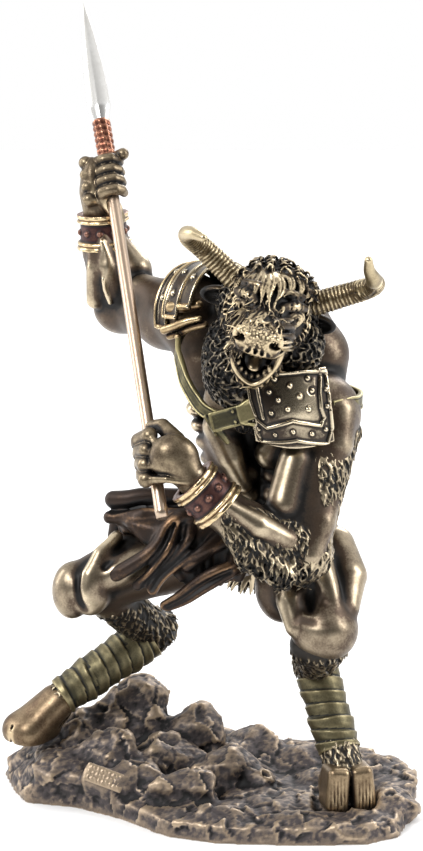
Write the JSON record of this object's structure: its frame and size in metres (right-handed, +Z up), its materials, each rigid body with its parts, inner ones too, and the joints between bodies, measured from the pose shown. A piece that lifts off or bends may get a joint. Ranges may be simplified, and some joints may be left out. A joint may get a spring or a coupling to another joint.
{
  "type": "minotaur statue",
  "caption": "Bull-headed fighter crouching on a rock base, one arm raised, holding a straight spear in both fists.",
  "frame": {"origin": "on the flat underside of the rock base, near the middle of its plan", "axes": "+Z up, the figure faces -Y, and +X is to the figure's left"},
  "size_m": [0.1629, 0.1561, 0.2985],
  "materials": {
    "bronze": "cold-cast bronze with a dark antique wash in the hollows and bright worn high spots",
    "spear_metal": "satin rod, copper binding and bright silver blade",
    "painted_rock": "cast rock, painted dark grey-brown and dry-brushed with bronze"
  },
  "bodies": {
    "root": {"figure": "bronze", "spear": "spear_metal", "rock_base": "painted_rock"}
  },
  "joints": []
}
